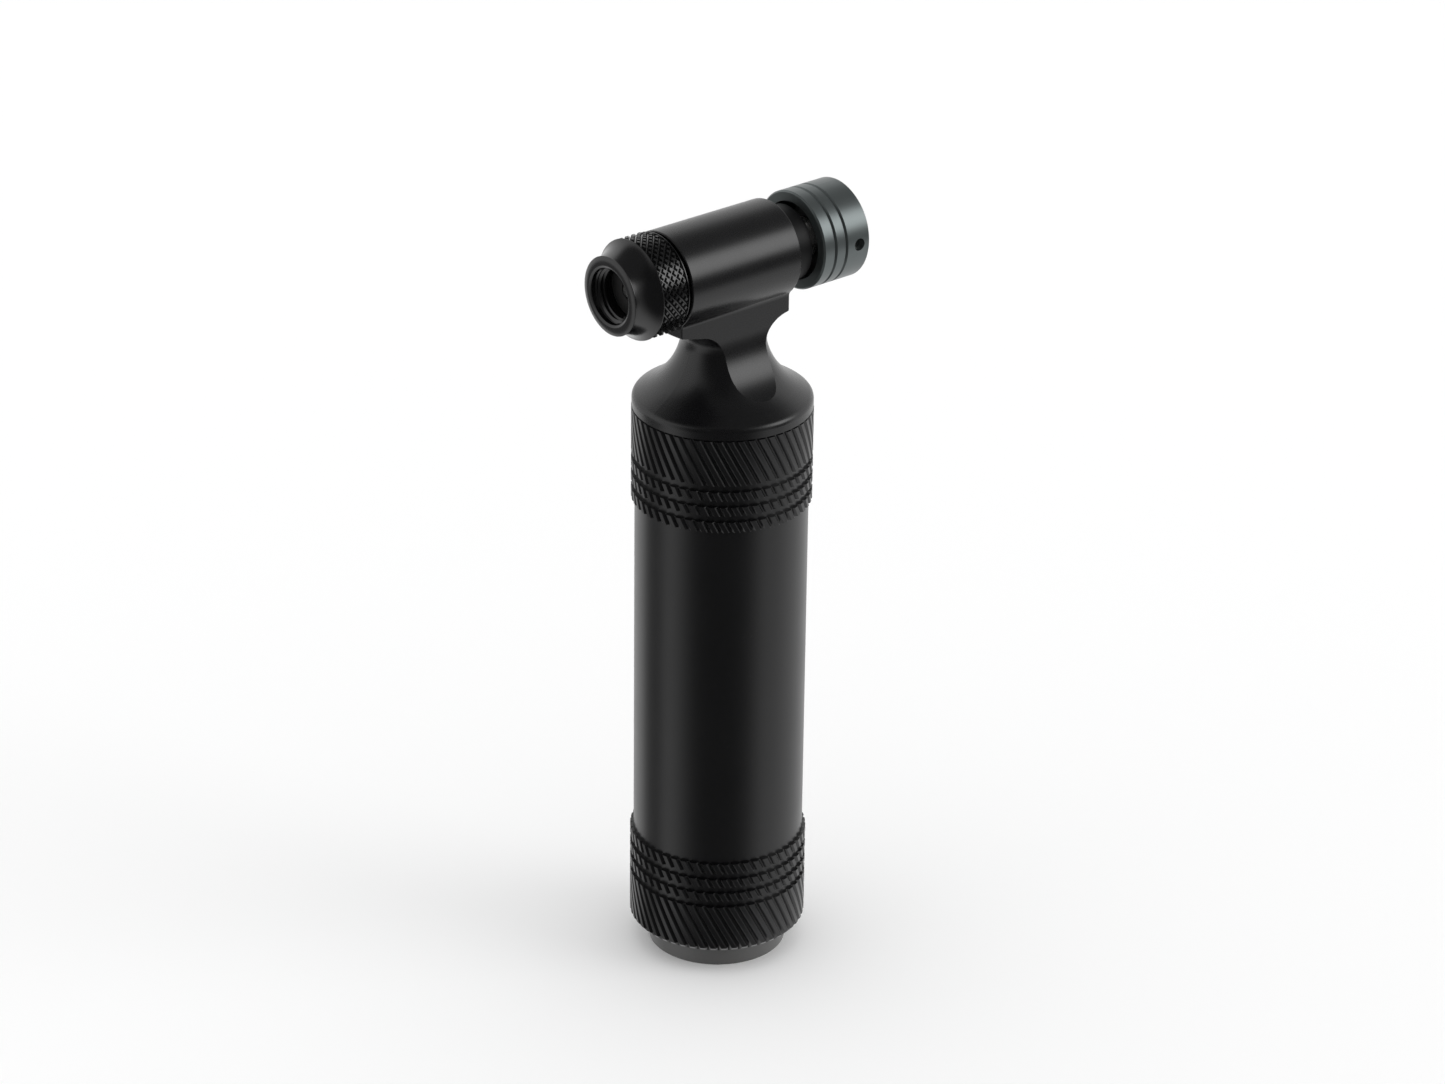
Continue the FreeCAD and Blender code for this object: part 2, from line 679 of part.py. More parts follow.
# --- chuck group -----------------------------------------------------------------------------------------
def chuck_body():
    """The knurled nose that screws on the tyre valve; the knurl is held at its crest size."""
    lip_x = chuck_face_x - chuck_lip_length
    neck_x = lip_x - chuck_lip_neck_length
    run = neck_x - chuck_flare_x
    flare = Part.BezierCurve()
    flare.setPoles([point_x(chuck_band_r, chuck_flare_x),
                    point_x(chuck_band_r - flare_first_drop, chuck_flare_x + run * flare_first_share),
                    point_x(chuck_lip_r + flare_second_rise, chuck_flare_x + run * flare_second_share),
                    point_x(chuck_lip_r - chuck_lip_neck, neck_x)])
    corners = [point_x(chuck_lip_r - chuck_lip_neck, neck_x), point_x(chuck_lip_r, lip_x),
               point_x(chuck_mouth_r, chuck_face_x), point_x(0, chuck_face_x), point_x(0, chuck_band_x),
               point_x(chuck_band_r - chuck_band_edge, chuck_band_x),
               point_x(chuck_band_r, chuck_band_x + chuck_band_edge), point_x(chuck_band_r, chuck_flare_x)]
    edges = [Part.LineSegment(a, b).toShape() for a, b in zip(corners, corners[1:])]
    shank = cyl_x(chuck_shank_r, chuck_rear_x, chuck_band_x + over)
    body = turned(edges + [flare.toShape()], AXIS_X).fuse(shank)
    mouth_x = chuck_face_x - chuck_mouth_chamfer
    lead_x = thread_mouth_x + thread_lead_in
    body = body.cut(cone_x(counterbore_r, chuck_mouth_r, mouth_x, chuck_face_x))
    body = body.cut(cyl_x(counterbore_r, lead_x, mouth_x + same_place))
    body = body.cut(cone_x(valve_thread_r, counterbore_r, thread_mouth_x, lead_x))
    body = body.cut(cyl_x(valve_thread_r, thread_floor_x, thread_mouth_x))
    body = body.cut(cyl_x(thread_relief_r, gasket_rear_x, thread_floor_x))
    body = body.cut(cyl_x(spring_chamber_r, spring_floor_x, gasket_rear_x))
    body = body.cut(cyl_x(outlet_r, chuck_rear_x - over, spring_floor_x + over))
    groove_half = ring_section_r + seal_clearance
    groove = cyl_x(chuck_shank_r + ring_section_r, chuck_oring_x - groove_half, chuck_oring_x + groove_half)
    groove = groove.cut(cyl_x(chuck_groove_r, chuck_oring_x - over, chuck_oring_x + over))
    return body.cut(groove).removeSplitter()


def chuck_oring():
    major = chuck_shank_r - ring_section_r + seal_clearance / 2
    return torus_x(major, ring_section_r - ring_squeeze, chuck_oring_x)


def chuck_gasket():
    """The rubber washer that seals on the end of the tyre valve."""
    ring = cyl_x(gasket_r, gasket_rear_x + ring_squeeze, gasket_front_x)
    return ring.cut(cyl_x(chuck_gasket_hole_r, gasket_rear_x - over, gasket_front_x + over))


def depressor_guide():
    """The pressed washer behind the gasket; it guides the pin and has three gas holes."""
    ring = cyl_x(spring_chamber_r - fit_clearance, guide_rear_x, guide_front_x)
    ring = ring.cut(cyl_x(depressor_r + sliding_clearance, guide_rear_x - over, guide_front_x + over))
    for hole in range(guide_hole_count):
        angle = math.radians(360 / guide_hole_count * hole + 90)
        centre = V(guide_rear_x - over, guide_hole_circle_r * math.cos(angle),
                   barrel_z + guide_hole_circle_r * math.sin(angle))
        ring = ring.cut(Part.makeCylinder(guide_hole_r, guide_thickness + 2 * over, centre, V(1, 0, 0)))
    return ring


def valve_depressor():
    """The sprung pin that opens the tyre valve's core."""
    tip = gasket_front_x + depressor_reach
    shaft = cyl_x(depressor_r, flange_rear_x, tip)
    rim = [e for e in shaft.Edges if e.BoundBox.XMin > tip - same_place]
    shaft = shaft.makeFillet(depressor_tip_radius, rim)
    return shaft.fuse(cyl_x(depressor_flange_r, flange_rear_x, flange_front_x)).removeSplitter()


def depressor_spring():
    """The spring behind the pin, held as the plain sleeve that its coils fill."""
    tube = cyl_x(spring_coil_r + spring_wire_r, spring_floor_x + face_clearance,
                 flange_rear_x - face_clearance)
    return tube.cut(cyl_x(spring_coil_r - spring_wire_r, spring_floor_x - over, flange_rear_x + over))


NODES = [sleeve, base_foot, cushion_pad, sleeve_oring, cartridge, cartridge_seal_cap, head_body,
         lance_gasket, lance, lance_filter, valve_seat, valve_bonnet, bonnet_oring, spindle_oring,
         plunger_seal, valve_plunger, spindle, spindle_clip, control_knob, knob_set_screw,
         chuck_body, chuck_oring, chuck_gasket, depressor_guide, valve_depressor, depressor_spring]

for make in NODES:
    save(make(), make.__name__)
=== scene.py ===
"""Pocket CO2 tyre inflator: knurled sleeve, T head, screw-on chuck and grey control knob."""
import math

import bmesh
import bpy
from mathutils import Matrix, Vector
from mathutils.geometry import interpolate_bezier


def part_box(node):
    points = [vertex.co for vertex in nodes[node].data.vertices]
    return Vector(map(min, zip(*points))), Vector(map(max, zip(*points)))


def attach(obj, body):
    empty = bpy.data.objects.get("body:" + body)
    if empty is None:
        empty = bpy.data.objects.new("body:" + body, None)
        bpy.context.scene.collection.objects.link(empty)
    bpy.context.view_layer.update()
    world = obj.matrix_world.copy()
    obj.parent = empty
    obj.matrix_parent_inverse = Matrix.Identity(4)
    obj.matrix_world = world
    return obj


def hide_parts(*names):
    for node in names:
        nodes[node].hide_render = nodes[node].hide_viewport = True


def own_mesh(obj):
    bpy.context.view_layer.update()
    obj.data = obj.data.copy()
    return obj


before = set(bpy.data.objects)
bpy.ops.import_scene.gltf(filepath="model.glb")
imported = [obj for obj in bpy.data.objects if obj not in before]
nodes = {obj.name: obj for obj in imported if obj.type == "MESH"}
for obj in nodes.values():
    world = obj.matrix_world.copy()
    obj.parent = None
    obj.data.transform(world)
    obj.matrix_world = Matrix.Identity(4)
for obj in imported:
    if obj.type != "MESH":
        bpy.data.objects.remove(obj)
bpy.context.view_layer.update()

mm = 0.001

# --- camera -----------------------------------------------------------------------------------
# A long lens stands on the chuck's side of the inflator and looks a little down at it,
# so that the sleeve stands upright and the barrel recedes to the right.
camera_turn = math.radians(140.157)
camera_height = math.radians(26.309)
camera_roll = math.radians(0.67)
camera_distance = 735.33 * mm
aim = Vector((0, 0, 67.742 * mm))
back = Vector((math.sin(camera_turn) * math.cos(camera_height),
               -math.cos(camera_turn) * math.cos(camera_height),
               math.sin(camera_height)))
lens = bpy.data.cameras.new("camera")
lens.sensor_width = 36
lens.lens = 117.9
lens.clip_start = 0.01
lens.shift_x = 0.00116
lens.shift_y = 0.00818
camera = bpy.data.objects.new("camera", lens)
bpy.context.collection.objects.link(camera)
right = Vector((0, 0, 1)).cross(back).normalized()
up = back.cross(right)
stand = Matrix((right, up, back)).transposed().to_4x4()
stand.translation = aim + back * camera_distance
camera.matrix_world = stand @ Matrix.Rotation(camera_roll, 4, "Z")
bpy.context.scene.camera = camera


# --- floor and studio light -------------------------------------------------------------------
# A plain pale floor in a white studio. The studio is darker overhead and behind the camera,
# with one bright key and two dark flags, so that black metal shows bright and dark stripes.
class Value:
    """A number that changes over a surface; operators on it add Math nodes."""

    def __init__(self, tree, socket):
        self.tree = tree
        self.socket = socket

    def join(self, operation, other=0.0, first=None):
        math_node = self.tree.nodes.new("ShaderNodeMath")
        math_node.operation = operation
        for slot, term in zip(math_node.inputs, (self if first is None else first, other)):
            if isinstance(term, Value):
                self.tree.links.new(term.socket, slot)
            else:
                slot.default_value = term
        return Value(self.tree, math_node.outputs[0])

    def __add__(self, other):
        return self.join("ADD", other)

    def __sub__(self, other):
        return self.join("SUBTRACT", other)

    def __mul__(self, other):
        return self.join("MULTIPLY", other)

    def __truediv__(self, other):
        return self.join("DIVIDE", other)

    def __rsub__(self, other):
        return self.join("SUBTRACT", self, first=other)

    __radd__ = __add__
    __rmul__ = __mul__

    def above(self, low, high):
        """0 below low, 1 above high and smooth between; low may be the larger one."""
        share = (self - low) / (high - low)
        share = share.join("MAXIMUM", 0.0).join("MINIMUM", 1.0)
        return share * share * (3 - 2 * share)


class Finish:
    """A node tree with one method that adds any node."""

    def __init__(self, tree):
        self.tree = tree
        tree.nodes.clear()

    def node(self, kind, settings=None, sockets=None, output=0):
        made = self.tree.nodes.new("ShaderNode" + kind)
        for name, setting in (settings or {}).items():
            setattr(made, name, setting)
        for name, value in (sockets or {}).items():
            if isinstance(value, Value):
                self.tree.links.new(value.socket, made.inputs[name])
            else:
                made.inputs[name].default_value = value
        return Value(self.tree, made.outputs[output]) if made.outputs else None

    def dot(self, vector, direction):
        product = self.node("VectorMath", {"operation": "DOT_PRODUCT"}, {0: vector}, "Value")
        product.socket.node.inputs[1].default_value = direction
        return product


floor_size = 6.0
bm = bmesh.new()
bmesh.ops.create_grid(bm, x_segments=1, y_segments=1, size=floor_size)
floor_mesh = bpy.data.meshes.new("floor")
bm.to_mesh(floor_mesh)
bm.free()
floor = bpy.data.objects.new("floor", floor_mesh)
bpy.context.collection.objects.link(floor)
floor.visible_glossy = False
paper = bpy.data.materials.new("paper")
paper.use_nodes = True
paper_finish = Finish(paper.node_tree)
paper_white = (0.93, 0.93, 0.93, 1)
paper_shader = paper_finish.node("BsdfDiffuse", {}, {"Color": paper_white})
paper_finish.node("OutputMaterial", {}, {"Surface": paper_shader})
floor_mesh.materials.append(paper)

world = bpy.data.worlds.new("studio")
bpy.context.scene.world = world
world.use_nodes = True
studio = Finish(world.node_tree)
look = studio.node("TexCoord", output="Generated")
toward = studio.dot(look, (math.sin(camera_turn), -math.cos(camera_turn), 0))
height = studio.dot(look, (0, 0, 1))
key_towards = (-0.574, 0.688, 0.443)
flag_towards = (-0.574, 0.814, -0.085)
side_flag_towards = (0.574, -0.688, -0.443)
key = studio.dot(look, key_towards).above(0.92, 0.99)
flag = studio.dot(look, flag_towards).above(0.93, 0.99)
side_flag = studio.dot(look, side_flag_towards).above(0.93, 0.985)
behind_camera = toward.above(0.34, 0.80)
overhead = height.above(0.52, 0.78)
wall_light = 0.82
key_light = 2.3
floor_light = 0.62
studio_power = 1.15
light = wall_light * (1 - 0.93 * behind_camera) * (1 - 0.84 * overhead) * (1 - 0.92 * flag)
light = light * (1 - 0.75 * side_flag) + key_light * key
seen = studio.node("LightPath", output="Is Camera Ray")
diffuse = studio.node("LightPath", output="Is Diffuse Ray")
strength = (light + diffuse * floor_light) * (1 - seen) + 1.0 * seen
backdrop = studio.node("Background", {}, {"Color": (1, 1, 1, 1),
                                          "Strength": strength * studio_power})
studio.node("OutputWorld", {}, {"Surface": backdrop})

bpy.context.scene.view_settings.view_transform = "Standard"


# --- sleeve -----------------------------------------------------------------------------------
# The hand grip: a drawn and turned aluminium tube, bead-blasted and black anodised, with a
# coarse helical knurl cut on a band and three ribs at each end. It screws on the head.
def anodised(name, colour, roughness, metallic, grain, specular=0.5):
    """Dyed, bead-blasted aluminium: a fine even grain, cloudy sheen and a few pale rubs."""
    material = bpy.data.materials.new(name)
    material.use_nodes = True
    finish = Finish(material.node_tree)
    place = finish.node("TexCoord", output="Object")
    blast = finish.node("TexNoise", {}, {"Vector": place, "Scale": 9000.0, "Detail": 3.0,
                                         "Roughness": 0.6})
    cloud = finish.node("TexNoise", {}, {"Vector": place, "Scale": 160.0, "Detail": 4.0,
                                         "Roughness": 0.55})
    speck = finish.node("TexNoise", {}, {"Vector": place, "Scale": 1500.0, "Detail": 2.0,
                                         "Roughness": 0.5})
    rub = speck.above(0.66, 0.76) * cloud.above(0.45, 0.62)
    pale = tuple(min(1.0, channel * 1.5 + 0.012) for channel in colour)
    shade = finish.node("Mix", {"data_type": "RGBA"}, {"Factor": rub * 0.3 + blast * 0.1},
                        output=2)
    mix = shade.socket.node
    mix.inputs[6].default_value = (*colour, 1)
    mix.inputs[7].default_value = (*pale, 1)
    dull = roughness - 0.05 + 0.07 * cloud + 0.06 * blast
    bump = finish.node("Bump", {}, {"Strength": grain, "Distance": 0.000004, "Height": blast})
    shader = finish.node("BsdfPrincipled", {}, {"Base Color": shade, "Roughness": dull,
                                                "Metallic": metallic, "Normal": bump,
                                                "Specular IOR Level": specular})
    finish.node("OutputMaterial", {}, {"Surface": shader})
    return material


def finished(bm, name, material, crease_deg=35):
    """The mesh as a smooth-shaded piece whose edges stay sharp where faces turn enough."""
    bmesh.ops.remove_doubles(bm, verts=bm.verts, dist=1e-7)
    bmesh.ops.recalc_face_normals(bm, faces=bm.faces)
    crease = math.radians(crease_deg)
    for face in bm.faces:
        face.smooth = True
    for edge in bm.edges:
        edge.smooth = len(edge.link_faces) == 2 and edge.calc_face_angle() < crease
    mesh = bpy.data.meshes.new(name)
    bm.to_mesh(mesh)
    bm.free()
    mesh.materials.append(material)
    piece = bpy.data.objects.new(name, mesh)
    bpy.context.collection.objects.link(piece)
    return piece


def moved_edges(bm, edges, turn=0.0, lift=0.0, radius=None):
    """Extrude a loop of edges about the sleeve's axis; returns the new loop."""
    made = bmesh.ops.extrude_edge_only(bm, edges=edges)["geom"]
    points = [item for item in made if isinstance(item, bmesh.types.BMVert)]
    loop = [item for item in made if isinstance(item, bmesh.types.BMEdge)]
    bmesh.ops.rotate(bm, cent=(0, 0, 0), matrix=Matrix.Rotation(turn, 3, "Z"), verts=points)
    bmesh.ops.translate(bm, vec=(0, 0, lift), verts=points)
    if radius is not None:
        for point in points:
            point.co.xy = point.co.xy.normalized() * radius
    old = set(edges)
    return [edge for edge in loop if edge not in old
            and all(vert in set(points) for vert in edge.verts)]


def turned_piece(profile, name, material, along_x=None, steps=128):
    """A closed outline of (radius, place) spun about the sleeve's or the barrel's axis."""
    bm = bmesh.new()
    points = [bm.verts.new((radius, 0, place)) for radius, place in profile]
    for first, second in zip(points, points[1:] + points[:1]):
        bm.edges.new((first, second))
    bmesh.ops.spin(bm, geom=bm.verts[:] + bm.edges[:], cent=(0, 0, 0), axis=(0, 0, 1),
                   angle=math.tau, steps=steps, use_merge=True)
    if along_x is not None:
        lay_along_barrel(bm, along_x)
    return finished(bm, name, material)


def lay_along_barrel(bm, barrel_z):
    """Turn a mesh that was made about Z so that it lies about the barrel's axis."""
    bmesh.ops.rotate(bm, cent=(0, 0, 0), matrix=Matrix.Rotation(math.pi / 2, 3, "Y"),
                     verts=bm.verts)
    bmesh.ops.translate(bm, vec=(0, 0, barrel_z), verts=bm.verts)


black_anodise = anodised("black_anodise", (0.0030, 0.0030, 0.0036), 0.30, 0.0, 0.5)
sleeve_low, sleeve_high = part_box("sleeve")
grip_r = sleeve_high[0]
tube_r = 13.45 * mm
bore_r = 11.6 * mm
socket_r = 12.35 * mm
socket_depth = 6.95 * mm
plug_seat_r = 12.08 * mm
plug_seat_height = 5.05 * mm
seam_z = sleeve_high[2]
stand_z = sleeve_low[2]
tube_profile = [
    (bore_r, stand_z + plug_seat_height), (bore_r, seam_z - socket_depth),
    (socket_r, seam_z - socket_depth), (socket_r, seam_z), (tube_r, seam_z),
    (tube_r, stand_z), (plug_seat_r, stand_z), (plug_seat_r, stand_z + plug_seat_height),
]
grip_tube = turned_piece(tube_profile, "grip_tube", black_anodise, steps=192)
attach(grip_tube, "sleeve")

tooth_count = 52
knurl_lean = math.radians(28)
knurl_depth = 0.43 * mm
land_share = 0.54
land_round = 0.05 * mm
band_height = 7.5 * mm
groove_width = 1.08 * mm
rib_width = 1.42 * mm
end_rib_width = 1.7 * mm
rib_count = 3
edge_chamfer = 0.55 * mm
seam_chamfer = 0.12 * mm
band_root_r = tube_r - 0.12 * mm
chamfer_r = tube_r + 0.05 * mm
band_step = 0.75 * mm
tooth_step = math.tau / tooth_count
# one tooth from the start of its land: share of the pitch, and drop below the crest
tooth = [(0.0, land_round), (0.05, 0.0), (land_share - 0.05, 0.0), (land_share, land_round),
         (land_share + 0.17, knurl_depth), (land_share + 0.29, knurl_depth)]


def knurled_band(name, low, high, bottom_chamfer=0.0, top_chamfer=0.0):
    """A ring of leaning teeth, closed by an inner wall that is sunk in the tube."""
    bm = bmesh.new()
    outline = tooth + [(1.0, land_round)]
    points = []
    for share, drop in outline:
        angle = share * tooth_step - low * math.tan(knurl_lean) / grip_r
        radius = grip_r - drop
        points.append(bm.verts.new((radius * math.cos(angle), radius * math.sin(angle),
                                    low + bottom_chamfer)))
    for first, second in zip(points, points[1:]):
        bm.edges.new((first, second))
    bmesh.ops.spin(bm, geom=bm.verts[:] + bm.edges[:], cent=(0, 0, 0), axis=(0, 0, 1),
                   angle=math.tau - tooth_step, steps=tooth_count - 1, use_duplicate=True)
    bmesh.ops.remove_doubles(bm, verts=bm.verts, dist=1e-6)
    loop = bm.edges[:]
    start = loop
    height = high - low - bottom_chamfer - top_chamfer
    steps = max(2, round(height / band_step))
    for _ in range(steps):
        loop = moved_edges(bm, loop, turn=-height / steps * math.tan(knurl_lean) / grip_r,
                           lift=height / steps)
    if top_chamfer:
        loop = moved_edges(bm, loop, lift=top_chamfer, radius=chamfer_r)
    top = moved_edges(bm, loop, radius=band_root_r)
    if bottom_chamfer:
        start = moved_edges(bm, start, lift=-bottom_chamfer, radius=chamfer_r)
    bottom = moved_edges(bm, start, radius=band_root_r)
    bmesh.ops.bridge_loops(bm, edges=top + bottom)
    band = finished(bm, name, black_anodise, crease_deg=25)
    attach(band, "sleeve")


for ring, start, way in (("upper", seam_z, -1), ("lower", stand_z + edge_chamfer, 1)):
    edge = start
    far = edge + way * band_height
    if way < 0:
        knurled_band("upper_grip_band", far, edge, top_chamfer=seam_chamfer)
    else:
        knurled_band("lower_grip_band", stand_z, far, bottom_chamfer=edge_chamfer)
    for rib in range(rib_count):
        edge = far + way * groove_width
        far = edge + way * (end_rib_width if rib == rib_count - 1 else rib_width)
        knurled_band(f"{ring}_grip_rib_{rib + 1}", min(edge, far), max(edge, far))
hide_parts("sleeve")

# --- foot -------------------------------------------------------------------------------------
# A moulded nylon plug pressed in the sleeve's bottom, grey and matt, on which the inflator
# stands; a soft pad inside it takes the cartridge's push.


def moulded(name, colour, roughness, grain_scale, grain):
    """Moulded plastic or rubber: an even colour with a fine spark-eroded grain."""
    material = bpy.data.materials.new(name)
    material.use_nodes = True
    finish = Finish(material.node_tree)
    place = finish.node("TexCoord", output="Object")
    grains = finish.node("TexNoise", {}, {"Vector": place, "Scale": grain_scale, "Detail": 4.0,
                                          "Roughness": 0.6})
    cloud = finish.node("TexNoise", {}, {"Vector": place, "Scale": 220.0, "Detail": 3.0,
                                         "Roughness": 0.5})
    pale = tuple(min(1.0, channel * 1.25 + 0.004) for channel in colour)
    shade = finish.node("Mix", {"data_type": "RGBA"}, {"Factor": grains * 0.5 + cloud * 0.3},
                        output=2)
    mix = shade.socket.node
    mix.inputs[6].default_value = (*colour, 1)
    mix.inputs[7].default_value = (*pale, 1)
    bump = finish.node("Bump", {}, {"Strength": grain, "Distance": 0.00003, "Height": grains})
    shader = finish.node("BsdfPrincipled", {}, {"Base Color": shade, "Normal": bump,
                                                "Roughness": roughness + 0.1 * cloud})
    finish.node("OutputMaterial", {}, {"Surface": shader})
    return material


def dress(material, *names):
    """Give CAD nodes a finish in every material slot they have."""
    for name in names:
        mesh = nodes[name].data
        if not mesh.materials:
            mesh.materials.append(material)
        for place in range(len(mesh.materials)):
            mesh.materials[place] = material


grey_nylon = moulded("grey_nylon", (0.075, 0.075, 0.074), 0.42, 3500.0, 0.3)
seal_rubber = moulded("nitrile", (0.012, 0.012, 0.012), 0.55, 5000.0, 0.2)
dress(grey_nylon, "base_foot")
dress(seal_rubber, "cushion_pad", "sleeve_oring")


# --- cartridge --------------------------------------------------------------------------------
# A drawn steel bottle of compressed gas, zinc plated, with a threaded neck and a thin
# crimped cap that the lance has pierced.
def turned_metal(name, colour, roughness, lines_per_mm, axis, bump_strength=0.25):
    """Bare metal off the lathe: fine rings round its axis and a slightly uneven shine."""
    material = bpy.data.materials.new(name)
    material.use_nodes = True
    finish = Finish(material.node_tree)
    place = finish.node("TexCoord", output="Object")
    along = finish.dot(place, axis)
    rings = finish.node("TexNoise", {"noise_dimensions": "1D"},
                        {"W": along, "Scale": lines_per_mm * 1000.0, "Detail": 2.0,
                         "Roughness": 0.6})
    cloud = finish.node("TexNoise", {}, {"Vector": place, "Scale": 400.0, "Detail": 3.0,
                                         "Roughness": 0.5})
    dark = tuple(channel * 0.8 for channel in colour)
    shade = finish.node("Mix", {"data_type": "RGBA"}, {"Factor": rings * 0.4 + cloud * 0.4},
                        output=2)
    mix = shade.socket.node
    mix.inputs[6].default_value = (*colour, 1)
    mix.inputs[7].default_value = (*dark, 1)
    bump = finish.node("Bump", {}, {"Strength": bump_strength, "Distance": 0.00001,
                                    "Height": rings})
    shader = finish.node("BsdfPrincipled", {}, {"Base Color": shade, "Metallic": 1.0,
                                                "Roughness": roughness + 0.12 * cloud,
                                                "Normal": bump})
    finish.node("OutputMaterial", {}, {"Surface": shader})
    return material


up_axis = (0, 0, 1)
barrel_axis = (1, 0, 0)
zinc_plate = turned_metal("zinc_plate", (0.58, 0.59, 0.60), 0.28, 0.8, up_axis)
bright_steel = turned_metal("bright_steel", (0.66, 0.66, 0.65), 0.14, 6.0, barrel_axis)
lance_steel = turned_metal("lance_steel", (0.62, 0.62, 0.62), 0.18, 6.0, up_axis)
dress(zinc_plate, "cartridge")
dress(lance_steel, "cartridge_seal_cap", "lance")

# --- head -------------------------------------------------------------------------------------
# One aluminium forging, turned at the bell and the neck, milled flat at the web and bored
# along the barrel, then blasted and black anodised like the sleeve.
head_black = anodised("head_black", (0.0030, 0.0030, 0.0036), 0.26, 0.0, 0.5)
brass = turned_metal("brass", (0.72, 0.52, 0.22), 0.2, 5.0, barrel_axis)
sintered_bronze = moulded("sintered_bronze", (0.30, 0.19, 0.09), 0.5, 7000.0, 0.8)
dress(head_black, "head_body")

# the bonnet: a turned collar screwed in the barrel's rear, with its nose inside the knob
# painted shade: a darker, duller copy of the black anodise, standing in for the shade the knob
# casts on the bonnet's nose
shaded_bonnet_black = anodised("shaded_bonnet_black", (0.0028, 0.0028, 0.0032), 0.42, 0.0, 0.5, specular=0.2)
bonnet_low, bonnet_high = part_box("valve_bonnet")
bonnet_z = (bonnet_low[2] + bonnet_high[2]) / 2
nose_r = (bonnet_high[2] - bonnet_low[2]) / 2
nose_rear_x, bonnet_front_x = bonnet_low[0], bonnet_high[0]
nose_front_x = nose_rear_x + 3.69 * mm
bonnet_shank_r = 5.15 * mm
stem_way_r = 2.05 * mm
plunger_room_r = 2.48 * mm
nose_edge = 0.25 * mm
ring_middle_x = nose_rear_x + 5.14 * mm
ring_groove_r = 4.15 * mm
ring_groove_half = 0.53 * mm
stem_seal_front_x = bonnet_front_x - 1.47 * mm
stem_seal_rear_x = bonnet_front_x - 2.33 * mm
stem_seal_r = 2.83 * mm
bonnet_profile = [
    (stem_way_r, nose_rear_x), (nose_r - nose_edge, nose_rear_x), (nose_r, nose_rear_x + nose_edge),
    (nose_r, nose_front_x), (bonnet_shank_r, nose_front_x),
    (bonnet_shank_r, ring_middle_x - ring_groove_half),
    (ring_groove_r, ring_middle_x - ring_groove_half),
    (ring_groove_r, ring_middle_x + ring_groove_half),
    (bonnet_shank_r, ring_middle_x + ring_groove_half), (bonnet_shank_r, bonnet_front_x),
    (plunger_room_r, bonnet_front_x), (plunger_room_r, stem_seal_front_x),
    (stem_seal_r, stem_seal_front_x), (stem_seal_r, stem_seal_rear_x),
    (stem_way_r, stem_seal_rear_x),
]
bonnet = turned_piece(bonnet_profile, "bonnet", shaded_bonnet_black, along_x=bonnet_z, steps=160)
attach(bonnet, "head")
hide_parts("valve_bonnet")
dress(seal_rubber, "lance_gasket", "bonnet_oring", "spindle_oring", "plunger_seal")
dress(brass, "valve_seat", "valve_plunger")
dress(sintered_bronze, "lance_filter")

# --- control knob -----------------------------------------------------------------------------
# A turned aluminium cup, anodised gunmetal grey, with two fine grooves. It is clamped on the
# stem's flat by a bright set screw in a radial hole.


def turned_grey(name, colour, roughness):
    """Grey anodising over fine lathe rings, which leave a soft streaky sheen; the inside of the cup
    is painted near black as shade.
    """
    material = bpy.data.materials.new(name)
    material.use_nodes = True
    finish = Finish(material.node_tree)
    place = finish.node("TexCoord", output="Object")
    along = finish.dot(place, barrel_axis)
    rings = finish.node("TexNoise", {"noise_dimensions": "1D"},
                        {"W": along, "Scale": 9000.0, "Detail": 3.0, "Roughness": 0.6})
    blast = finish.node("TexNoise", {}, {"Vector": place, "Scale": 8000.0, "Detail": 3.0,
                                         "Roughness": 0.6})
    cloud = finish.node("TexNoise", {}, {"Vector": place, "Scale": 200.0, "Detail": 3.0,
                                         "Roughness": 0.5})
    pale = tuple(channel * 1.12 for channel in colour)
    shade = finish.node("Mix", {"data_type": "RGBA"}, {"Factor": rings * 0.4 + blast * 0.5},
                        output=2)
    mix = shade.socket.node
    mix.inputs[6].default_value = (*colour, 1)
    mix.inputs[7].default_value = (*pale, 1)
    # painted shade: the cup that the bonnet's nose enters is painted near black and made duller,
    # standing in for the shade inside it
    across = finish.dot(place, (0, 1, 0))
    rise = finish.dot(place, up_axis) - bonnet_z
    inside = (across * across + rise * rise).above(cup_r_high ** 2, cup_r_low ** 2)
    cup_shade = inside * along.above(knob_rear_x + cup_floor_low, knob_rear_x + cup_floor_high)
    shade = finish.node("Mix", {"data_type": "RGBA"}, {"Factor": cup_shade}, output=2)
    cup_shade_mix = shade.socket.node
    finish.tree.links.new(mix.outputs[2], cup_shade_mix.inputs[6])
    cup_shade_mix.inputs[7].default_value = painted_cup_shade
    relief = rings * 0.5 + blast
    bump = finish.node("Bump", {}, {"Strength": 0.22, "Distance": 0.000006, "Height": relief})
    shader = finish.node("BsdfPrincipled", {}, {"Base Color": shade,
                                                "Metallic": 0.85 * (1 - cup_shade),
                                                "Roughness": roughness + 0.08 * cloud + 0.3 * cup_shade,
                                                "Normal": bump})
    finish.node("OutputMaterial", {}, {"Surface": shader})
    return material


knob_rear_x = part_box("control_knob")[0][0]
# the reach and colour of the painted shade inside the knob's cup
cup_r_low, cup_r_high = 6.16 * mm, 6.24 * mm
cup_floor_low, cup_floor_high = 1.0 * mm, 1.5 * mm
painted_cup_shade = (0.006, 0.006, 0.006, 1)
gunmetal = turned_grey("gunmetal", (0.128, 0.144, 0.144), 0.30)
dress(gunmetal, "control_knob")
dress(bright_steel, "spindle", "spindle_clip", "knob_set_screw")

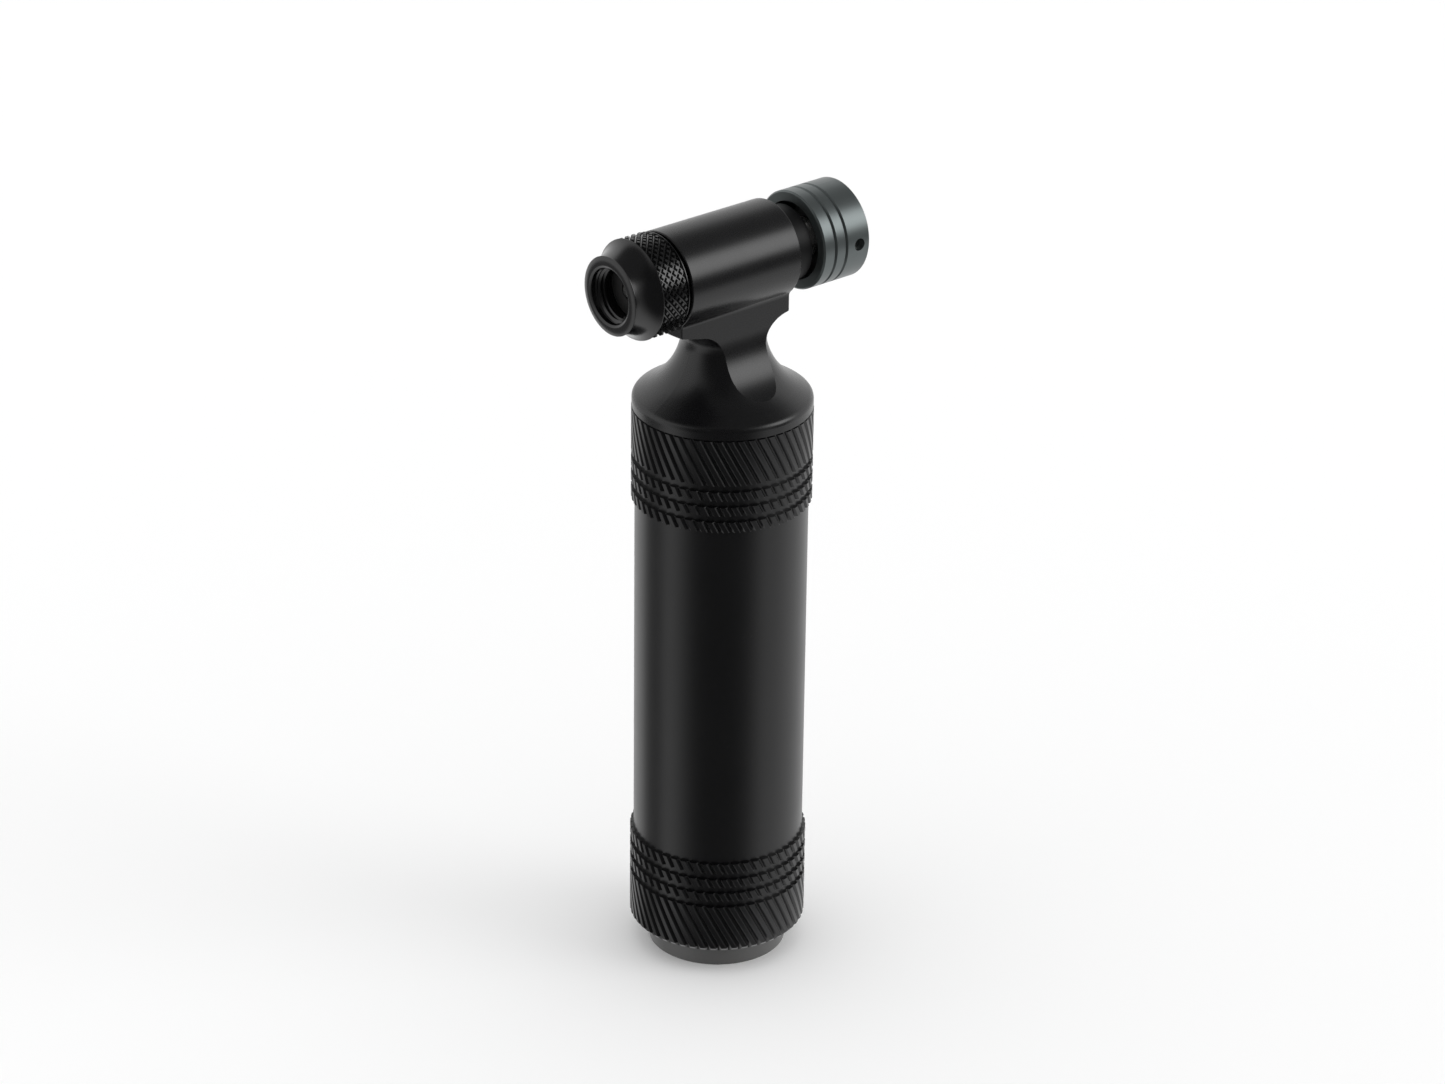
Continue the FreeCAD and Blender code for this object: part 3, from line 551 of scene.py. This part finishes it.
# --- chuck ------------------------------------------------------------------------------------
# The nose that screws on the tyre valve: turned aluminium, black anodised, with a diamond
# knurl on its band, a concave flare to the lip and a valve thread in its mouth.
chuck_black = anodised("chuck_black", (0.0028, 0.0028, 0.0032), 0.19, 0.0, 0.35, specular=0.6)
chuck_low, chuck_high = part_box("chuck_body")
barrel_z = (chuck_low[2] + chuck_high[2]) / 2
face_x = chuck_high[0]
rear_x = chuck_low[0]
band_r = (chuck_high[2] - chuck_low[2]) / 2
band_x = rear_x + 5.9 * mm
flare_x = band_x + 5.3 * mm
shank_r = 5.55 * mm
shank_thread_depth = 0.45 * mm
shank_root_r = shank_r - shank_thread_depth
shank_pitch = 1.0 * mm
shank_turns = 3
crest_width = 0.2 * mm
flank_end = 0.55 * mm
root_end = 0.65 * mm
oring_x = band_x - 1.5 * mm
oring_groove_half = 0.53 * mm
oring_groove_r = 4.55 * mm
lip_r = 6.17 * mm
lip_x = face_x - 0.31 * mm
lip_neck = 0.12 * mm
lip_neck_x = lip_x - 0.25 * mm
mouth_r = 4.77 * mm
mouth_chamfer = 0.2 * mm
counterbore_r = 4.42 * mm
thread_mouth_x = face_x - 1.15 * mm
thread_r = 3.9 * mm
thread_root_r = 4.25 * mm
thread_floor_x = thread_mouth_x - 2.2 * mm
relief_r = 4.3 * mm
gasket_rear_x = thread_floor_x - 2.6 * mm
spring_room_r = 2.7 * mm
spring_floor_x = rear_x + 3.4 * mm
outlet_r = 1.3 * mm
knurl_sink = 0.38 * mm
band_core_r = band_r - knurl_sink - 0.06 * mm

flare_run = lip_neck_x - flare_x
flare_steps = 20
flare = interpolate_bezier(Vector((band_r - 0.02 * mm, flare_x)),
                           Vector((band_r - 0.95 * mm, flare_x + 0.2 * flare_run)),
                           Vector((lip_r + 0.1 * mm, flare_x + 0.55 * flare_run)),
                           Vector((lip_r - lip_neck, lip_neck_x)), flare_steps)
shank_thread = []
thread_start = oring_x - oring_groove_half - 0.4 * mm
for turn in range(shank_turns):
    crest = thread_start - turn * shank_pitch
    shank_thread += [(shank_r, crest), (shank_r, crest - crest_width),
                     (shank_root_r, crest - flank_end), (shank_root_r, crest - root_end)]
chuck_profile = [
    (outlet_r, rear_x), (shank_r - 0.4 * mm, rear_x), (shank_r, rear_x + 0.4 * mm),
    *reversed(shank_thread),
    (shank_r, oring_x - oring_groove_half), (oring_groove_r, oring_x - oring_groove_half),
    (oring_groove_r, oring_x + oring_groove_half), (shank_r, oring_x + oring_groove_half),
    (shank_r, band_x), (band_r - 0.45 * mm, band_x), (band_r - 0.12 * mm, band_x + 0.3 * mm),
    (band_r - 0.12 * mm, band_x + 0.42 * mm), (band_core_r, band_x + 0.5 * mm),
    (band_core_r, flare_x - 0.3 * mm), (band_r - 0.1 * mm, flare_x - 0.2 * mm),
    (band_r, flare_x - 0.1 * mm),
    *[(point[0], point[1]) for point in flare],
    (lip_r, lip_x - 0.1 * mm), (lip_r, lip_x), (lip_r - 0.12 * mm, lip_x + 0.08 * mm),
    (mouth_r + 0.06 * mm, face_x), (mouth_r - 0.04 * mm, face_x - 0.03 * mm),
    (counterbore_r, face_x - mouth_chamfer), (counterbore_r, thread_mouth_x + 0.2 * mm),
    (thread_root_r, thread_mouth_x), (thread_root_r, thread_floor_x), (relief_r, thread_floor_x),
    (relief_r, gasket_rear_x), (spring_room_r, gasket_rear_x), (spring_room_r, spring_floor_x),
    (outlet_r, spring_floor_x),
]
chuck_shell = turned_piece(chuck_profile, "chuck_shell", chuck_black, along_x=barrel_z, steps=160)
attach(chuck_shell, "chuck")
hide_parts("chuck_body")

# the valve thread: one V ridge wound round the bore
valve_pitch = 0.794 * mm
thread_turns = 2.6
thread_runout = 0.35
ridge_sink = 0.05 * mm
ridge_crest_r = thread_r + 0.03 * mm
ridge_foot_r = thread_root_r + ridge_sink
bm = bmesh.new()
ridge_low = thread_floor_x + 0.02 * mm
ridge = [(ridge_foot_r, 0.0), (ridge_crest_r, 0.34 * valve_pitch),
         (ridge_crest_r, 0.46 * valve_pitch), (ridge_foot_r, 0.80 * valve_pitch)]
points = [bm.verts.new((radius, 0, ridge_low + place)) for radius, place in ridge]
section = bm.faces.new(points)
rise_steps = 48
bmesh.ops.spin(bm, geom=[section], cent=(0, 0, 0), axis=(0, 0, 1),
               dvec=(0, 0, valve_pitch / rise_steps), angle=math.tau * thread_turns - thread_runout,
               steps=int(rise_steps * thread_turns), use_merge=False)
lay_along_barrel(bm, barrel_z)
valve_ridge = finished(bm, "valve_thread_ridge", chuck_black)
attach(valve_ridge, "chuck")

# the diamond knurl: raised flat pads between two crossing sets of grooves
diamonds_round = 34
diamond_rows = 4
pad_gap = 0.08 * mm
pad_flank = 0.16 * mm
knurl_low = band_x + 0.42 * mm
knurl_high = flare_x - 0.18 * mm
row_height = (knurl_high - knurl_low) / diamond_rows
bm = bmesh.new()
ring = bmesh.ops.create_circle(bm, segments=diamonds_round, radius=band_r - knurl_sink)["verts"]
bmesh.ops.translate(bm, vec=(0, 0, knurl_low), verts=ring)
loop = bm.edges[:]
for _ in range(diamond_rows):
    loop = moved_edges(bm, loop, lift=row_height)
cells = bm.faces[:]
centres = bmesh.ops.poke(bm, faces=cells)["verts"]
for point in centres:
    point.co.xy = point.co.xy.normalized() * (band_r - knurl_sink)
grid_edges = [edge for edge in bm.edges if edge.is_valid and len(edge.link_faces) == 2
              and not any(vert in set(centres) for vert in edge.verts)]
bmesh.ops.dissolve_edges(bm, edges=grid_edges, use_verts=False)
pads = bm.faces[:]
bmesh.ops.inset_individual(bm, faces=pads, thickness=pad_gap, depth=0, use_even_offset=True)
bmesh.ops.inset_individual(bm, faces=pads, thickness=pad_flank, depth=knurl_sink - 0.02 * mm,
                           use_even_offset=True)
knurl_middle = (knurl_low + knurl_high) / 2
knurl_wall_r = band_core_r - 0.3 * mm
rim = [edge for edge in bm.edges if len(edge.link_faces) == 1]
low_rim = [edge for edge in rim if edge.verts[0].co.z < knurl_middle]
high_rim = [edge for edge in rim if edge not in set(low_rim)]
low_rim = moved_edges(bm, low_rim, radius=knurl_wall_r)
high_rim = moved_edges(bm, high_rim, radius=knurl_wall_r)
bmesh.ops.bridge_loops(bm, edges=low_rim + high_rim)
lay_along_barrel(bm, barrel_z)
diamond_knurl = finished(bm, "diamond_knurl", chuck_black, crease_deg=20)
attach(diamond_knurl, "chuck")
dress(seal_rubber, "chuck_oring", "chuck_gasket")
dress(bright_steel, "depressor_guide", "valve_depressor")

# --- depressor spring -------------------------------------------------------------------------
# Stainless spring wire, coiled at an even pitch, which pushes the pin back to the valve.
spring_low, spring_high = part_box("depressor_spring")
wire_r = 0.2 * mm
coil_r = (spring_high[2] - spring_low[2]) / 2 - wire_r
coil_count = 5.5
coil_steps = 32
spring_length = spring_high[0] - spring_low[0]
coil_rise = (spring_length - 2 * wire_r) / coil_count
bm = bmesh.new()
wire = bmesh.ops.create_circle(bm, cap_ends=True, segments=10, radius=wire_r)["verts"]
bmesh.ops.rotate(bm, cent=(0, 0, 0), matrix=Matrix.Rotation(math.pi / 2, 3, "X"), verts=wire)
bmesh.ops.translate(bm, vec=(coil_r, 0, spring_low[0] + wire_r), verts=wire)
bmesh.ops.spin(bm, geom=bm.faces[:], cent=(0, 0, 0), axis=(0, 0, 1),
               dvec=(0, 0, coil_rise / coil_steps), angle=math.tau * coil_count,
               steps=int(coil_steps * coil_count), use_merge=False)
lay_along_barrel(bm, barrel_z)
spring = finished(bm, "depressor_coil", bright_steel)
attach(spring, "chuck")
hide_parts("depressor_spring")
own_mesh(spring)
